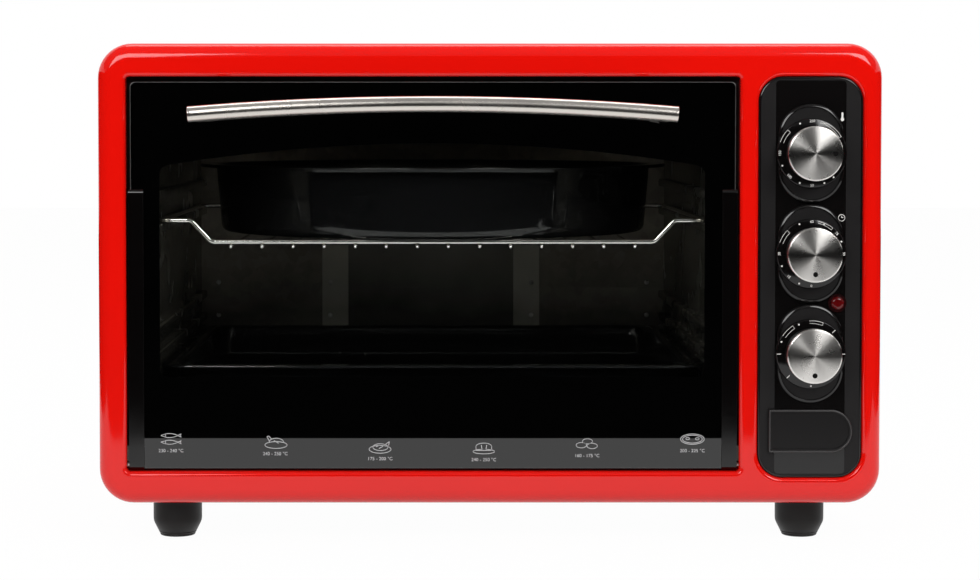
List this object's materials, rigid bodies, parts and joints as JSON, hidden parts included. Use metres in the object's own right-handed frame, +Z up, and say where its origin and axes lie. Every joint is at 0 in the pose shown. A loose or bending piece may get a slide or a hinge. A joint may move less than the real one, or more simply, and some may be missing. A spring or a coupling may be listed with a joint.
{
  "type": "table-top electric oven",
  "caption": "Table-top electric mini oven with a drop-down glass door, arched bar handle, turning controls, pull-out wire rack, round pan and baking tray.",
  "frame": {"origin": "on the table, below the middle of the whole oven with its handle and cord gland", "axes": "+Z up, -Y out through the door towards the user, +X to the side of the controls"},
  "size_m": [0.52, 0.4262, 0.332],
  "materials": {
    "red_enamel": "glossy",
    "black_steel": "satin",
    "zinc_sheet": "dull",
    "liner_steel": "satin",
    "element_steel": "oxidised",
    "ceramic": "matt",
    "fastener_steel": "plain",
    "panel_plastic": "fine grain",
    "gloss_inlay": "glossy",
    "knob_plastic": "glossy",
    "spun_metal": "spun",
    "shaft_steel": "turned",
    "control_case": "moulded",
    "bell_steel": "plated",
    "copper_tube": "drawn",
    "lamp_red": "clear",
    "gland_plastic": "moulded",
    "foot_plastic": "moulded",
    "door_pane": "polished",
    "handle_steel": "brushed",
    "plug_plastic": "moulded",
    "rack_chrome": "plated",
    "black_enamel": "glossy"
  },
  "bodies": {
    "casing": {"badge_plate": "panel_plastic", "base_pan": "zinc_sheet", "bay_shield": "zinc_sheet", "casing_screws": "fastener_steel", "cavity_back": "liner_steel", "cavity_floor": "liner_steel", "cavity_roof": "liner_steel", "cavity_supports": "zinc_sheet", "cavity_wall_left": "liner_steel", "cavity_wall_right": "liner_steel", "control_panel": "panel_plastic", "control_plate": "zinc_sheet", "cord_gland": "gland_plastic", "element_bushes": "ceramic", "element_clips": "zinc_sheet", "foot_front_left": "foot_plastic", "foot_front_right": "foot_plastic", "foot_rear_left": "foot_plastic", "foot_rear_right": "foot_plastic", "foot_screws": "fastener_steel", "front_frame": "red_enamel", "hinge_brackets": "zinc_sheet", "hinge_pins": "fastener_steel", "lamp_holder": "panel_plastic", "lamp_lens": "lamp_red", "lower_element": "element_steel", "outer_wrap": "red_enamel", "panel_strip": "gloss_inlay", "rear_panel": "black_steel", "selector_body": "control_case", "selector_dial": "gloss_inlay", "terminal_block": "control_case", "thermostat_body": "control_case", "thermostat_bulb": "copper_tube", "thermostat_dial": "gloss_inlay", "timer_bell": "bell_steel", "timer_body": "control_case", "timer_dial": "gloss_inlay", "upper_element": "element_steel"},
    "door": {"door_glass": "door_pane", "door_channel_left": "black_steel", "door_channel_right": "black_steel", "hinge_blocks": "fastener_steel", "handle_bar": "handle_steel", "handle_plugs": "plug_plastic", "handle_posts": "handle_steel", "handle_screws": "fastener_steel", "handle_washers": "plug_plastic"},
    "thermostat_control": {"thermostat_knob": "knob_plastic", "thermostat_cap": "spun_metal", "thermostat_shaft": "shaft_steel"},
    "timer_control": {"timer_knob": "knob_plastic", "timer_cap": "spun_metal", "timer_shaft": "shaft_steel"},
    "selector_control": {"selector_knob": "knob_plastic", "selector_cap": "spun_metal", "selector_shaft": "shaft_steel"},
    "rack": {"wire_rack": "rack_chrome", "round_pan": "black_enamel"},
    "tray": {"square_tray": "black_enamel"}
  },
  "joints": [
    {"name": "door_hinge", "type": "hinge", "parent": "casing", "child": "door", "pos_m": [-0.03775, -0.1729, 0.0518], "axis": [1, 0, 0], "range_deg": [0, 90]},
    {"name": "thermostat_turn", "type": "hinge", "parent": "casing", "child": "thermostat_control", "pos_m": [0.212, -0.19, 0.2593], "axis": [0, 1, 0], "range_deg": [0, 300]},
    {"name": "timer_turn", "type": "hinge", "parent": "casing", "child": "timer_control", "pos_m": [0.212, -0.19, 0.193], "axis": [0, 1, 0], "range_deg": [0, 330]},
    {"name": "selector_turn", "type": "hinge", "parent": "casing", "child": "selector_control", "pos_m": [0.212, -0.19, 0.1267], "axis": [0, 1, 0], "range_deg": [0, 270]},
    {"name": "rack_slide", "type": "slide", "parent": "casing", "child": "rack", "axis": [0, -1, 0], "range_m": [0, 0.15]},
    {"name": "tray_slide", "type": "slide", "parent": "casing", "child": "tray", "axis": [0, -1, 0], "range_m": [0, 0.09]}
  ],
  "couplings": [
    {"joint": "rack_slide", "follows": "door_hinge", "m_per_rad": 0.095},
    {"joint": "tray_slide", "follows": "door_hinge", "m_per_rad": 0.057}
  ]
}
